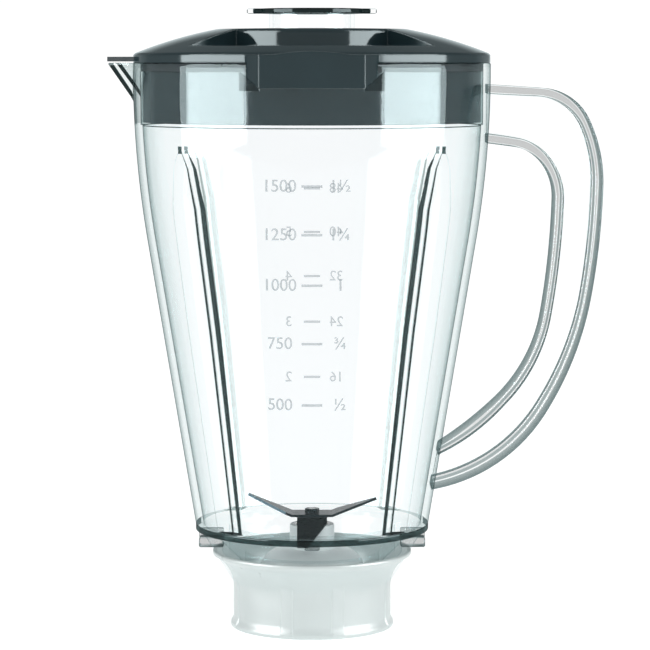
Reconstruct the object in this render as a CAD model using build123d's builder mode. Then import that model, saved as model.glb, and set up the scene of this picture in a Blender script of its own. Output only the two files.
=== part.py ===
"""Blender jug: clear jug with handle and spout, lid, filler cap and a screw-in blade unit.

Millimetres, +Z up.  The origin is on the jug's axis at the foot of the screw collar.  The
handle points along +X, the spout along -X and the tab of the lid along -Y.
"""

from build123d import *
import math
import os

# ---------------------------------------------------------------- driving dimensions

# How features of one piece are joined and cut
overlap = 0.2  # how far one feature is let into the next
overshoot = 1.0  # how far a cut runs on past the face it opens

# Jug body
rim_z = 229.8  # top edge of the jug
rim_r = 72.2  # outer radius of the upright band at the rim
band_h = 3.8  # height of that upright band
blend_h = 68.0  # height over which the straight taper turns upright
floor_r = 47.6  # outer radius at the floor
floor_z = 40.0  # underside of the floor
floor_t = 2.2
floor_band_h = 2.6  # upright edge of the floor
wall_t = 3.2
lid_pocket_drop = 24.8  # from the rim to the bottom of the pocket that takes the lid's skirt
lid_pocket_t = 3.0  # wall beside that pocket

# Four flutes pressed into the jug's wall
flute_angle = 46.0  # from the front and back centre lines
flute_depth = 5.0
flute_half_w = 6.0
flute_foot_share = 0.7  # flutes are smaller at the foot by this share
flute_top_drop = 32.8  # from the rim to the flute's pointed top
flute_point_h = 24.0  # height of the pointed top
flute_skirt_z = 0.6  # gap between the floor's edge and the flute's foot
flute_cut_out = 4.0  # how far the cut stands outside the wall

# Neck and thread under the floor
neck_t = 2.8
neck_ledge_w = 6.6  # shelf between the neck's wall and the spigot's bore
neck_ledge_z = 31.0  # shelf where the neck narrows to the spigot
neck_ledge_t = 3.0
neck_chamfer = 2.4
neck_bore_r = 27.4  # bore of the spigot, wide enough for the blades
spigot_t = 2.0
spigot_end_z = 13.5
thread_starts = 3
thread_lead = 12.0
thread_h = 0.9  # ridge height, the same on the spigot and in the collar
thread_gap = 0.4  # crest to root, between spigot and collar
thread_w = 1.4  # axial width of a ridge at its base
spigot_root = 0.4  # how deep a ridge is let into the wall that carries it
collar_root = 0.9
thread_male_turn = 0.42  # turns covered by each ridge of the spigot
thread_female_turn = 0.16
thread_play = 0.35  # axial gap between mating flanks
thread_run_out = 1.2  # plain end of the spigot below the thread

# Lugs and nib under the floor
lug_len = 9.5  # beyond the neck
lug_z = 32.5
lug_h = 3.7
lug_w = 9.0
lug_web_t = 3.0
nib_w = 6.0
nib_h = 1.5
nib_depth = 2.0
nib_inset = 0.6  # inside the floor's edge

# Handle
handle_w = 20.0
handle_flange_t = 3.7
handle_web_t = 3.0
handle_edge_w = 1.2  # bevel along the handle's edges
handle_root_in = 8.0  # how far the handle's outline starts inside the rim
handle_top_drop = 8.1  # upper edge of the handle at the wall, below the rim
handle_top_inner_drop = 31.4  # lower edge of that upper arm
handle_foot_drop = 172.5  # lower edge of the lower arm at the wall, below the rim
handle_foot_inner_drop = 154.1  # upper edge of that lower arm
handle_foot_in = 6.0  # how far the lower arm runs on inside the wall
handle_foot_low = 2.0  # lower edge's fall over that length
handle_foot_high = 8.0  # upper edge's fall over that length
handle_foot_gap = 0.3  # edges' last arcs end this far off the wall
handle_stand_off = 45.2  # furthest point of the handle from the rim
handle_grip_t = 19.6  # depth of the grip band, outside to inside

# Spout
spout_stand_off = 10.4  # tip of the spout, beyond the rim
spout_half_w = 13.0
spout_h = 14.8
spout_t = 2.2
spout_tip_share = 1.6  # wall's length along the spout's point, over its thickness
spout_root_in = 6.0  # back of the spout's wedge, inside the rim
spout_point_drop = 9.0  # wedge's lower point, below the spout's height
spout_channel_drop = 3.0

# Lid
skirt_clearance = 0.8  # between the lid's skirt and the jug's pocket
skirt_t = 2.6
skirt_lift = 1.0  # gap under the skirt
lid_t = 2.2
lid_edge_inset = 0.2  # inside the jug's rim
lid_edge_h = 3.1
lid_edge_bevel = 0.8
crown_r = 38.4  # flat top of the lid
crown_h = 13.5  # above the jug's rim
flank_mid_in = 15.0  # inside the lid's edge
flank_mid_h = 8.9
crown_fillet = 1.6
scoop_h = 6.5  # scoop floor above the jug's rim
scoop_inner_angle = 51.0
scoop_outer_angle = 46.0
seal_groove_d = 1.2
seal_h = 3.0
seal_drop = 0.4
seal_gap = 0.2
tab_face_w = 40.3
tab_root_w = 51.0
tab_reach = 4.3  # beyond the jug's wall
tab_drop = 9.7  # below the jug's rim
tab_facet_rise = 4.6
tab_gap = 0.6
tab_arch_w = 33.0
tab_arch_h = 1.3
tab_root_in = 10.0  # how far the tab's plate reaches inside the skirt's outer face
tab_arch_root = 0.5  # arch's ends, below the lid's edge
tab_arch_in = 4.0  # how far the arch runs on inside the rim
tab_facet_w = 2.0  # the slanted cut at each lower corner, beyond the tab's root
tab_facet_cut = 20.0
tongue_t = 1.8
tongue_gap = 0.6

# Filler cap and its hole
filler_r = 17.6
filler_gap = 0.3
filler_tube_t = 2.2
filler_tube_drop = 12.8  # end of the tube below the jug's rim
filler_ledge_z = 2.2  # cap's seat above the jug's rim
filler_ledge_w = 1.7
filler_ledge_t = 2.0
cap_wall_t = 1.5
cap_disc_r = 21.5
cap_disc_t = 1.9
cap_rise = 6.3  # underside of the disc above the lid's crown
cap_ear_reach = 26.1
cap_ear_w = 14.0
cap_ear_r = 3.0
cap_cup_h = 11.0  # cup below its seat
cap_bevel = 0.4
cap_floor_t = 2.5  # above the cap's seat

# Screw collar
collar_h = 31.3
collar_t = 1.5
collar_lip_gap = 3.7  # lip of the flare, outside the neck
collar_lip_h = 1.5
collar_lip_step = 0.2  # lip stands out past the flare by this much
collar_lip_slope = 0.3
collar_lip_mouth = 1.3  # lip's mouth, wider than the flare's inner face
collar_flare_h = 13.8
collar_foot_w = 1.2  # foot's flare beyond the collar's wall
collar_foot_h = 2.0
collar_foot_blend = 2.0
collar_shelf_z = 7.0
collar_shelf_t = 2.3
collar_shelf_w = 5.7
grip_rib_w = 5.0
grip_rib_h = 0.5
grip_rib_top_z = 20.0
grip_rib_angle = 18.5  # either side of each of the four centre lines

# Blade carrier
carrier_flange_t = 2.3
carrier_plug_gap = 0.5
carrier_plug_h = 6.4
carrier_dome_in = 5.9  # dome's side, inside the spigot's bore
carrier_dome_round = 9.8
carrier_dome_top_z = 31.8
carrier_wall_t = 2.2
carrier_rib_t = 1.8
carrier_ribs = 6
hub_r = 9.15
hub_top_z = 41.8
hub_tube_end_z = 13.0
hub_edge_r = 0.8
bush_r = 6.5

# Drive line
shaft_r = 4.0
running_gap = 0.04
shaft_neck_r = 3.0  # flats for the blades
shaft_flat = 2.3  # half the distance between the flats
shaft_stud_r = 1.5
shaft_screw_r = 3.5
shaft_end_z = 4.0
shaft_shoulder_z = 10.9
bush_h = 6.0
upper_bush_top_z = 37.0
wick_gap = 0.6  # above and below the felt wick
wick_shaft_gap = 0.3
shaft_seal_r = 7.4
shaft_seal_h = 3.8
seal_side_t = 1.0  # seal's outer wall; its groove narrows downward
seal_groove_slope = 0.3
seal_lip_t = 0.5  # lip at its edge; it thickens downward
seal_lip_slope = 0.4
seal_lip_drop = 0.4
retainer_t = 0.8
retainer_gap = 0.8  # round the shaft
thrust_washer_t = 0.6
washer_overhang = 0.4  # lower washer, beyond the bush
spacer_r = 5.6
spacer_h = 1.9
blade_t = 1.0
nut_flats = 5.2
nut_h = 1.7
nut_turn = 12.0  # where the tightened nut comes to rest
clip_t = 0.7
clip_r = 5.6
clip_groove_r = 3.2
clip_z = 11.4

# Blades
upper_blade_pass = 0.8  # between the blade's tips and the spigot's bore
upper_blade_bend = 8.5
upper_blade_angle = 21.7
upper_blade_w = 13.0
lower_blade_bend = 7.5
lower_blade_len = 15.0
lower_blade_angle = 40.0
lower_blade_w = 12.2
lower_blade_tip_w = 4.4
upper_blade_tip_w = 1.6
blade_shoulder = 0.15  # share of a wing's length before it starts to narrow

# Drive coupling
coupling_r = 13.0
coupling_disc_t = 4.0
coupling_end_z = 1.5
coupling_top_z = 10.2
coupling_teeth = 6
tooth_inner_r = 7.6
tooth_outer_r = 12.6
tooth_angle = 26.0
insert_flats = 11.0
insert_end_z = 4.6

# ---------------------------------------------------------------- sizes that follow

band_z = rim_z - band_h
blend_z = band_z - blend_h
floor_top_z = floor_z + floor_t
foot_top_z = floor_z + floor_band_h
taper = math.atan((rim_r - floor_r) / (blend_z - foot_top_z + blend_h / 2))
blend_radius = blend_h / math.sin(taper)
blend_centre_r = rim_r - blend_radius

lid_pocket_z = rim_z - lid_pocket_drop
flute_top_z = rim_z - flute_top_drop
pocket_r = rim_r - lid_pocket_t
skirt_r = pocket_r - skirt_clearance
skirt_z = lid_pocket_z + skirt_lift
lid_edge_r = rim_r - lid_edge_inset
flank_mid_r = lid_edge_r - flank_mid_in
spout_reach = rim_r + spout_stand_off
handle_reach = rim_r + handle_stand_off

neck_inner_r = neck_bore_r + neck_ledge_w
neck_r = neck_inner_r + neck_t
lug_end_r = neck_r + lug_len
spigot_r = neck_bore_r + spigot_t
collar_bore_r = spigot_r + thread_h + thread_gap
collar_r = collar_bore_r + collar_t
collar_lip_r = neck_r + collar_lip_gap
collar_foot_r = collar_r + collar_foot_w
collar_shelf_hole_r = collar_bore_r - collar_shelf_w
upper_blade_reach = neck_bore_r - upper_blade_pass
carrier_dome_r = neck_bore_r - carrier_dome_in
collar_shelf_top_z = collar_shelf_z + collar_shelf_t
flange_top_z = collar_shelf_top_z + carrier_flange_t

spacer_z = hub_top_z + thrust_washer_t
lower_blade_z = spacer_z + spacer_h
upper_blade_z = lower_blade_z + blade_t
nut_z = upper_blade_z + blade_t

crown_z = rim_z + crown_h
scoop_z = rim_z + scoop_h
cap_seat_z = rim_z + filler_ledge_z
cap_disc_z = crown_z + cap_rise


def wall_r(z):
    """Outer radius of the jug's wall at height z."""
    if z >= band_z:
        return rim_r
    if z >= blend_z:
        return blend_centre_r + math.sqrt(blend_radius**2 - (band_z - z) ** 2)
    return wall_r(blend_z) - (blend_z - z) * math.tan(taper)


def wall_lines(inset, low_z, high_z):
    """Draw the jug's wall, moved inward by inset, from low_z up to high_z."""
    arc_r = blend_radius - inset
    arc_low = (
        blend_centre_r + arc_r * math.cos(taper),
        band_z - arc_r * math.sin(taper),
    )
    arc_end = math.degrees(math.asin(max(0.0, band_z - high_z) / arc_r))
    arc_start = math.degrees(taper)
    Line((arc_low[0] - (arc_low[1] - low_z) * math.tan(taper), low_z), arc_low)
    return CenterArc((blend_centre_r, band_z), arc_r, -arc_start, arc_start - arc_end)


def turned(outline):
    """A solid turned about the Z axis from a closed outline of (radius, height) points."""
    with BuildPart() as piece:
        with BuildSketch(Plane.XZ):
            with BuildLine():
                Polyline(*outline, close=True)
            make_face()
        revolve(axis=Axis.Z)
    return piece


def ring(inner_r, outer_r, low_z, height):
    """A flat ring about the Z axis."""
    return turned(
        [
            (inner_r, low_z),
            (outer_r, low_z),
            (outer_r, low_z + height),
            (inner_r, low_z + height),
        ]
    )


def flute(grow, low_z, top_z):
    """A V-shaped flute along the wall on the +X side, made larger all round by grow."""
    side = math.hypot(flute_depth, flute_half_w)
    deep = flute_depth + grow * side / flute_half_w
    half_w = flute_half_w + grow * side / flute_depth
    widen = 1 + flute_cut_out / deep
    stations = [
        (low_z, flute_foot_share),
        (blend_z - blend_h / 2, 1.0),
        (blend_z, 1.0),
        (blend_z + blend_h / 4, 1.0),
        (top_z - flute_point_h, 1.0),
        (top_z - flute_point_h / 3, 0.6),
    ]
    with BuildPart() as piece:
        for z, share in stations:
            with BuildSketch(Plane.XY.offset(z)):
                with BuildLine():
                    Polyline(
                        (wall_r(z) - deep * share, 0),
                        (wall_r(z) + flute_cut_out, half_w * share * widen),
                        (wall_r(z) + flute_cut_out, -half_w * share * widen),
                        close=True,
                    )
                make_face()
        loft(ruled=True)
        top_face = piece.faces().sort_by(Axis.Z)[-1]
        loft(sections=[top_face, Vertex(wall_r(top_z), 0, top_z)], ruled=True)
    return piece


def thread_ridge(root_r, height, buried, turn, start_z):
    """One helical ridge; negative height and buried depth make it stand inward."""
    with BuildPart() as piece:
        with BuildLine() as path:
            Helix(pitch=thread_lead, height=thread_lead * turn, radius=root_r)
        with BuildSketch(Plane(origin=path.line @ 0, x_dir=(1, 0, 0), z_dir=path.line % 0)):
            with BuildLine():
                Polyline(
                    (-buried, -thread_w / 2),
                    (height, -thread_w / 4),
                    (height, thread_w / 4),
                    (-buried, thread_w / 2),
                    close=True,
                )
            make_face()
        sweep(path=path.line, is_frenet=True)
    return piece.part.moved(Location((0, 0, start_z)))


def save(piece, name):
    """Label a finished piece and write it."""
    piece.part.label = name
    export_step(piece.part, f"parts/{name}.step")


os.makedirs("parts", exist_ok=True)

# ---------------------------------------------------------------- jug

front_flutes = [-90 - flute_angle, -90 + flute_angle]
back_flutes = [90 - flute_angle, 90 + flute_angle]

flute_low_z = foot_top_z + flute_skirt_z
flute_cut = flute(0, flute_low_z, flute_top_z)
flute_core = flute(wall_t, floor_z, flute_top_z + 1.5 * wall_t)

# The room inside the jug, from the spigot's mouth up to the rim
with BuildPart() as jug_room:
    with BuildSketch(Plane.XZ):
        with BuildLine():
            inner_arc = wall_lines(wall_t, floor_top_z, lid_pocket_z)
            inner_foot_r = wall_r(floor_top_z) - wall_t / math.cos(taper)
            Polyline(
                inner_arc @ 1,
                (pocket_r, lid_pocket_z),
                (pocket_r, rim_z + overshoot),
                (0, rim_z + overshoot),
                (0, spigot_end_z),
                (neck_bore_r, spigot_end_z),
                (neck_bore_r, neck_ledge_z),
                (neck_inner_r, neck_ledge_z),
                (neck_inner_r, floor_top_z),
                (inner_foot_r, floor_top_z),
            )
        make_face()
    revolve(axis=Axis.Z)
    for angle in front_flutes + back_flutes:
        add(flute_core.part, rotation=(0, 0, angle), mode=Mode.SUBTRACT)

# Points that the handle's two edges pass, from the top down, as (inward from the handle's
# furthest point, below the rim); the stretches between them are tangent arcs
outer_edge = [(24.4, 10.0), (5.8, 22.6), (0, 49.8), (4.6, 94.8), (23.1, 142.4)]
inner_edge = [(16.8, 33.6), (2.6, 43.3), (-0.2, 54.8), (4.3, 101.7), (22.8, 136.8)]
outer_foot_z = rim_z - handle_foot_drop
inner_foot_z = rim_z - handle_foot_inner_drop
outer_top_z = rim_z - handle_top_drop
inner_top_z = rim_z - handle_top_inner_drop
handle_root_r = rim_r - handle_root_in


def handle_edge(passed, furthest, top_z, foot_z):
    """Draw one edge of the handle: straight out of the wall, then tangent arcs back to it."""
    places = [(furthest - inward, rim_z - below) for inward, below in passed]
    places.append((wall_r(foot_z) + handle_foot_gap, foot_z))
    stretch = Line((handle_root_r, top_z), places[0])
    for place in places[1:]:
        stretch = TangentArc(stretch @ 1, place, tangent=stretch % 1)
    return stretch


with BuildSketch(Plane.XZ) as handle_outline:
    with BuildLine():
        outer_end = handle_edge(outer_edge, handle_reach, outer_top_z, outer_foot_z)
        inner_reach = handle_reach - handle_grip_t
        inner_end = handle_edge(inner_edge, inner_reach, inner_top_z, inner_foot_z)
        foot_in_r = wall_r(outer_foot_z) - handle_foot_in
        Polyline(
            outer_end @ 1,
            (foot_in_r, (outer_end @ 1).Y - handle_foot_low),
            (foot_in_r, (inner_end @ 1).Y - handle_foot_high),
            inner_end @ 1,
        )
        Line((handle_root_r, outer_top_z), (handle_root_r, inner_top_z))
    make_face()

with BuildSketch(Plane.XZ) as handle_pocket_outline:
    add(handle_outline.sketch_local)
    offset(amount=-handle_flange_t, mode=Mode.REPLACE)

with BuildPart() as handle:
    with BuildSketch(Plane.XZ.offset(-handle_w / 2)):
        add(handle_outline.sketch_local)
    extrude(amount=handle_w)
    chamfer(handle.edges().group_by(Axis.Y)[0], handle_edge_w)
    chamfer(handle.edges().group_by(Axis.Y)[-1], handle_edge_w)

# The pocket on the handle's back face, and its twin on the front face
with BuildPart() as handle_pocket:
    with BuildSketch(Plane.XZ.offset(-handle_w / 2 - overshoot)):
        add(handle_pocket_outline.sketch_local)
    extrude(amount=(handle_w - handle_web_t) / 2 + overshoot)
    mirror(about=Plane.XZ)


def spout_body(inset, low_z):
    """The spout's wedge: a pointed plan at the rim that runs down to a point on the wall."""
    root = rim_r - spout_root_in
    with BuildPart() as piece:
        with BuildSketch(Plane.XY.offset(rim_z)):
            with BuildLine():
                Polyline(
                    (-spout_reach + spout_tip_share * inset, 0),
                    (-root, spout_half_w - inset),
                    (-root, -spout_half_w + inset),
                    close=True,
                )
            make_face()
        top_face = piece.pending_faces[0]
        loft(sections=[Vertex(-root, 0, low_z), top_face], ruled=True)
    return piece


spout = spout_body(0, rim_z - spout_h - spout_point_drop)
spout_channel = spout_body(spout_t, rim_z - spout_h - spout_channel_drop)

foot_r = wall_r(foot_top_z)

# The jug without its handle, filled in
with BuildPart() as jug_outside:
    with BuildSketch(Plane.XZ):
        with BuildLine():
            outer_arc = wall_lines(0, foot_top_z, band_z)
            Polyline(
                outer_arc @ 1,
                (rim_r, rim_z),
                (0, rim_z),
                (0, spigot_end_z),
                (spigot_r, spigot_end_z),
                (spigot_r, neck_ledge_z - neck_ledge_t),
                (neck_r - neck_chamfer, neck_ledge_z - neck_ledge_t),
                (neck_r, neck_ledge_z - neck_ledge_t + neck_chamfer),
                (neck_r, floor_z),
                (foot_r, floor_z),
                (foot_r, foot_top_z),
            )
        make_face()
    revolve(axis=Axis.Z)

with BuildPart() as jug:
    add(jug_outside.part)
    add(spout.part)
    for side in (-1, 1):
        lug_root_r = neck_r - neck_t / 2
        lug_mid_r = (lug_root_r + lug_end_r) / 2
        with Locations((side * lug_mid_r, 0, lug_z + lug_h / 2)):
            Box(lug_end_r - lug_root_r, lug_w, lug_h)
        with Locations((side * lug_mid_r, 0, (lug_z + floor_z + overlap) / 2)):
            Box(lug_end_r - lug_root_r, lug_web_t, floor_z - lug_z + overlap)
    with Locations((0, -foot_r + nib_depth / 2 + nib_inset, floor_z + (overlap - nib_h) / 2)):
        Box(nib_w, nib_depth, nib_h + overlap)
    add(spout_channel.part, mode=Mode.SUBTRACT)
    add(jug_room.part, mode=Mode.SUBTRACT)
    for angle in front_flutes + back_flutes:
        add(flute_cut.part, rotation=(0, 0, angle), mode=Mode.SUBTRACT)
    male_low_z = spigot_end_z + thread_run_out + thread_w / 2
    for start in range(thread_starts):
        ridge = thread_ridge(spigot_r, thread_h, spigot_root, thread_male_turn, male_low_z)
        add(ridge.rotate(Axis.Z, 360 / thread_starts * start))

# The moulding's rim, wall, base and handle are kept apart where they meet
with BuildPart() as jug_rim:
    add(jug.part)
    split(bisect_by=Plane.XY.offset(lid_pocket_z), keep=Keep.TOP)
save(jug_rim, "jug_rim")

with BuildPart() as jug_wall:
    add(jug.part)
    split(bisect_by=Plane.XY.offset(lid_pocket_z), keep=Keep.BOTTOM)
    split(bisect_by=Plane.XY.offset(foot_top_z), keep=Keep.TOP)
save(jug_wall, "jug_wall")

with BuildPart() as jug_base:
    add(jug.part)
    split(bisect_by=Plane.XY.offset(foot_top_z), keep=Keep.BOTTOM)
save(jug_base, "jug_base")

with BuildPart() as jug_handle:
    add(handle.part)
    add(handle_pocket.part, mode=Mode.SUBTRACT)
    add(jug_outside.part, mode=Mode.SUBTRACT)
save(jug_handle, "jug_handle")

# ---------------------------------------------------------------- lid

seal_z = rim_z - seal_drop - seal_h
seal_root_r = skirt_r - seal_groove_d
edge_top_z = rim_z + lid_edge_h
tube_r = filler_r + filler_tube_t
tube_end_z = rim_z - filler_tube_drop
flank_mid_z = rim_z + flank_mid_h
tab_z = rim_z - tab_drop


def lid_flank(drop):
    """The lid's sloping flank, from the edge up to the crown, lowered by drop."""
    return ThreePointArc(
        (lid_edge_r - lid_edge_bevel, edge_top_z + lid_edge_bevel - drop),
        (flank_mid_r, flank_mid_z - drop),
        (crown_r, crown_z - drop),
    )


def lid_plan(grow, low_z, high_z):
    """The front scoop's plan, from the crown outward, made larger all round by grow."""
    inner = math.radians(scoop_inner_angle)
    outer = math.radians(scoop_outer_angle)
    near_r = crown_r - grow
    far_r = 1.5 * lid_edge_r  # well outside the lid
    extra = grow / math.cos(outer)
    with BuildPart() as piece:
        with BuildSketch(Plane.XY.offset(low_z)):
            with BuildLine():
                Polyline(
                    (0, 0),
                    (near_r * math.sin(inner) + extra, -near_r * math.cos(inner)),
                    (far_r * math.sin(outer) + extra, -far_r * math.cos(outer)),
                    (-far_r * math.sin(outer) - extra, -far_r * math.cos(outer)),
                    (-near_r * math.sin(inner) - extra, -near_r * math.cos(inner)),
                    close=True,
                )
            make_face()
            Circle(near_r, mode=Mode.SUBTRACT)
        extrude(amount=high_z - low_z)
    return piece


with BuildPart() as lid_dome:
    with BuildSketch(Plane.XZ):
        with BuildLine():
            lid_flank(0)
            Polyline(
                (crown_r, crown_z),
                (0, crown_z),
                (0, rim_z),
                (lid_edge_r - lid_edge_bevel, rim_z),
                (lid_edge_r - lid_edge_bevel, edge_top_z + lid_edge_bevel),
            )
        make_face()
    revolve(axis=Axis.Z)

scoop_floor = lid_plan(lid_t, scoop_z - lid_t, crown_z + overshoot)
with BuildPart() as scoop_shell:
    add(lid_dome.part)
    add(scoop_floor.part, mode=Mode.INTERSECT)

scoop_cut = lid_plan(0, scoop_z, crown_z + overshoot)

with BuildPart() as lid:
    with BuildSketch(Plane.XZ):
        with BuildLine():
            outer_flank = lid_flank(0)
            inner_flank = lid_flank(lid_t)
            skirt_inner_r = skirt_r - skirt_t
            Line(outer_flank @ 1, (filler_r, crown_z))
            Polyline(
                (filler_r, crown_z),
                (filler_r, cap_seat_z),
                (filler_r - filler_ledge_w, cap_seat_z),
                (filler_r - filler_ledge_w, cap_seat_z - filler_ledge_t),
                (filler_r, cap_seat_z - filler_ledge_t),
                (filler_r, tube_end_z),
                (tube_r, tube_end_z),
                (tube_r, crown_z - lid_t),
                (crown_r, crown_z - lid_t),
            )
            Polyline(
                inner_flank @ 0,
                (skirt_inner_r, edge_top_z + lid_edge_bevel - lid_t),
                (skirt_inner_r, skirt_z),
                (skirt_r, skirt_z),
                (skirt_r, seal_z),
                (seal_root_r, seal_z),
                (seal_root_r, seal_z + seal_h),
                (skirt_r, seal_z + seal_h),
                (skirt_r, rim_z),
                (lid_edge_r, rim_z),
                (lid_edge_r, edge_top_z),
                outer_flank @ 0,
            )
        make_face()
    revolve(axis=Axis.Z)
    for angle in (0, 180):
        add(scoop_shell.part, rotation=(0, 0, angle))
    with BuildSketch(Plane.XY.offset(tab_z)):
        with BuildLine():
            tab_face_y = -rim_r - tab_reach
            tab_root_y = -math.sqrt(rim_r**2 - (tab_root_w / 2) ** 2)
            Polyline(
                (-tab_face_w / 2, tab_face_y),
                (tab_face_w / 2, tab_face_y),
                (tab_root_w / 2, tab_root_y),
                (-tab_root_w / 2, tab_root_y),
                close=True,
            )
        make_face()
        Circle(rim_r + tab_gap, mode=Mode.SUBTRACT)
    extrude(amount=tab_drop)
    with BuildSketch(Plane.XY.offset(rim_z)):
        with BuildLine():
            Polyline(
                (-tab_face_w / 2, tab_face_y),
                (tab_face_w / 2, tab_face_y),
                (tab_root_w / 2, tab_root_y),
                (tab_root_w / 2, -skirt_r + tab_root_in),
                (-tab_root_w / 2, -skirt_r + tab_root_in),
                (-tab_root_w / 2, tab_root_y),
                close=True,
            )
        make_face()
        Circle(skirt_r - overshoot, mode=Mode.SUBTRACT)
    extrude(amount=lid_edge_h)
    with BuildSketch(Plane.XZ.offset(-tab_face_y)):
        with BuildLine():
            arch = ThreePointArc(
                (-tab_arch_w / 2, edge_top_z - tab_arch_root),
                (0, edge_top_z + tab_arch_h),
                (tab_arch_w / 2, edge_top_z - tab_arch_root),
            )
            Line(arch @ 1, arch @ 0)
        make_face()
    extrude(amount=-(tab_reach + tab_arch_in))
    facet_end_x = tab_root_w / 2 + tab_facet_w
    facet_slope = tab_facet_rise / ((tab_root_w - tab_face_w) / 2)
    facet_end_z = tab_z + facet_slope * (facet_end_x - tab_face_w / 2)
    for side in (-1, 1):
        with BuildSketch(Plane.XZ.offset(-tab_face_y + overshoot)):
            with BuildLine():
                Polyline(
                    (side * tab_face_w / 2, tab_z),
                    (side * facet_end_x, facet_end_z),
                    (side * facet_end_x, tab_z - overshoot),
                    (side * tab_face_w / 2, tab_z - overshoot),
                    close=True,
                )
            make_face()
        extrude(amount=-tab_facet_cut, mode=Mode.SUBTRACT)
    with BuildSketch(Plane.XY.offset(rim_z + tongue_gap)):
        with BuildLine():
            Polyline(
                (-spout_reach, 0),
                (-skirt_r + overshoot, spout_half_w),
                (-skirt_r + overshoot, -spout_half_w),
                close=True,
            )
        make_face()
    extrude(amount=tongue_t)
    for angle in (0, 180):
        add(scoop_cut.part, rotation=(0, 0, angle), mode=Mode.SUBTRACT)
    crown_edges = lid.edges().filter_by(GeomType.CIRCLE).group_by(Axis.Z)[-1]
    drum_edges = crown_edges.filter_by(lambda e: abs(e.radius - crown_r) < 0.01)
    fillet(drum_edges.filter_by(lambda e: abs(e.center().X) < 1), crown_fillet)
save(lid, "lid")

save(ring(seal_root_r, pocket_r - seal_gap, seal_z, seal_h), "lid_seal")

# ---------------------------------------------------------------- filler cap

cap_upper_r = filler_r - filler_gap
cap_lower_r = filler_r - filler_ledge_w - filler_gap

with BuildPart() as filler_cap:
    with BuildSketch(Plane.XY.offset(cap_disc_z)):
        Circle(cap_disc_r)
        RectangleRounded(2 * cap_ear_reach, cap_ear_w, cap_ear_r)
    extrude(amount=cap_disc_t)
    chamfer(filler_cap.edges().group_by(Axis.Z)[-1], cap_bevel)
    with BuildSketch(Plane.XZ):
        with BuildLine():
            Polyline(
                (cap_upper_r, cap_disc_z + overlap),
                (cap_upper_r, cap_seat_z),
                (cap_lower_r, cap_seat_z),
                (cap_lower_r, cap_seat_z - cap_cup_h),
                (cap_lower_r - cap_wall_t, cap_seat_z - cap_cup_h),
                (cap_lower_r - cap_wall_t, cap_seat_z + cap_wall_t),
                (cap_upper_r - cap_wall_t, cap_seat_z + cap_floor_t),
                (cap_upper_r - cap_wall_t, cap_disc_z + overlap),
                close=True,
            )
        make_face()
    revolve(axis=Axis.Z)
save(filler_cap, "filler_cap")

# ---------------------------------------------------------------- screw collar

flare_end_z = collar_h - collar_lip_h - collar_lip_step
flare_start_z = flare_end_z - collar_flare_h
flare_w = collar_lip_r - collar_r
flare_radius = (flare_w**2 + collar_flare_h**2) / (2 * flare_w)
flare_centre = (collar_r + flare_radius, flare_start_z)


def flare_arc(t):
    """The collar's flare, moved inward by t, from the straight wall up to the lip."""
    arc_r = flare_radius + t
    sweep_angle = math.degrees(math.asin(collar_flare_h / arc_r))
    return CenterArc(flare_centre, arc_r, 180, -sweep_angle)


# One grip rib on the +X side, let into the wall; it fades into the flare at its top
grip_rib_root_r = collar_r - collar_t / 2
grip_rib_r = collar_r + grip_rib_h
with BuildPart() as grip_rib:
    with BuildSketch(Plane.XY.offset(collar_foot_h / 2)):
        with Locations(((grip_rib_root_r + grip_rib_r) / 2, 0)):
            Rectangle(grip_rib_r - grip_rib_root_r, grip_rib_w)
    extrude(amount=grip_rib_top_z - collar_foot_h / 2)

with BuildPart() as base_collar:
    with BuildSketch(Plane.XZ):
        with BuildLine():
            outer_flare = flare_arc(0)
            inner_flare = flare_arc(collar_r - collar_bore_r)
            lip_outer_r = collar_lip_r + collar_lip_step
            Polyline(
                outer_flare @ 1,
                (lip_outer_r, flare_end_z + collar_lip_slope),
                (lip_outer_r, collar_h),
                ((inner_flare @ 1).X + collar_lip_mouth, collar_h),
                inner_flare @ 1,
            )
            Polyline(
                inner_flare @ 0,
                (collar_bore_r, collar_shelf_top_z),
                (collar_shelf_hole_r, collar_shelf_top_z),
                (collar_shelf_hole_r, collar_shelf_z),
                (collar_bore_r, collar_shelf_z),
                (collar_bore_r, 0),
                (collar_foot_r, 0),
                (collar_foot_r, collar_foot_h),
                (collar_r, collar_foot_h + collar_foot_blend),
                outer_flare @ 0,
            )
        make_face()
    revolve(axis=Axis.Z)
    for quarter in range(4):
        for side in (-1, 1):
            add(grip_rib.part, rotation=(0, 0, 90 * quarter + side * grip_rib_angle))
    engaged_z = male_low_z + thread_w + thread_play
    for start in range(thread_starts):
        ridge = thread_ridge(
            collar_bore_r, -thread_h, -collar_root, thread_female_turn, engaged_z
        )
        add(ridge.rotate(Axis.Z, 360 / thread_starts * start))
save(base_collar, "base_collar")

# ---------------------------------------------------------------- blade carrier and seals

save(ring(neck_bore_r, spigot_r, flange_top_z, spigot_end_z - flange_top_z), "neck_seal")

plug_r = neck_bore_r - carrier_plug_gap
dome_mid_r = carrier_dome_r - carrier_dome_round
dome_low_z = carrier_dome_top_z - carrier_dome_round
hollow_round = carrier_dome_round - carrier_wall_t
hollow_top_z = carrier_dome_top_z - carrier_wall_t
plug_top_z = flange_top_z + carrier_plug_h
seal_pocket_z = hub_top_z - retainer_t - shaft_seal_h

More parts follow.
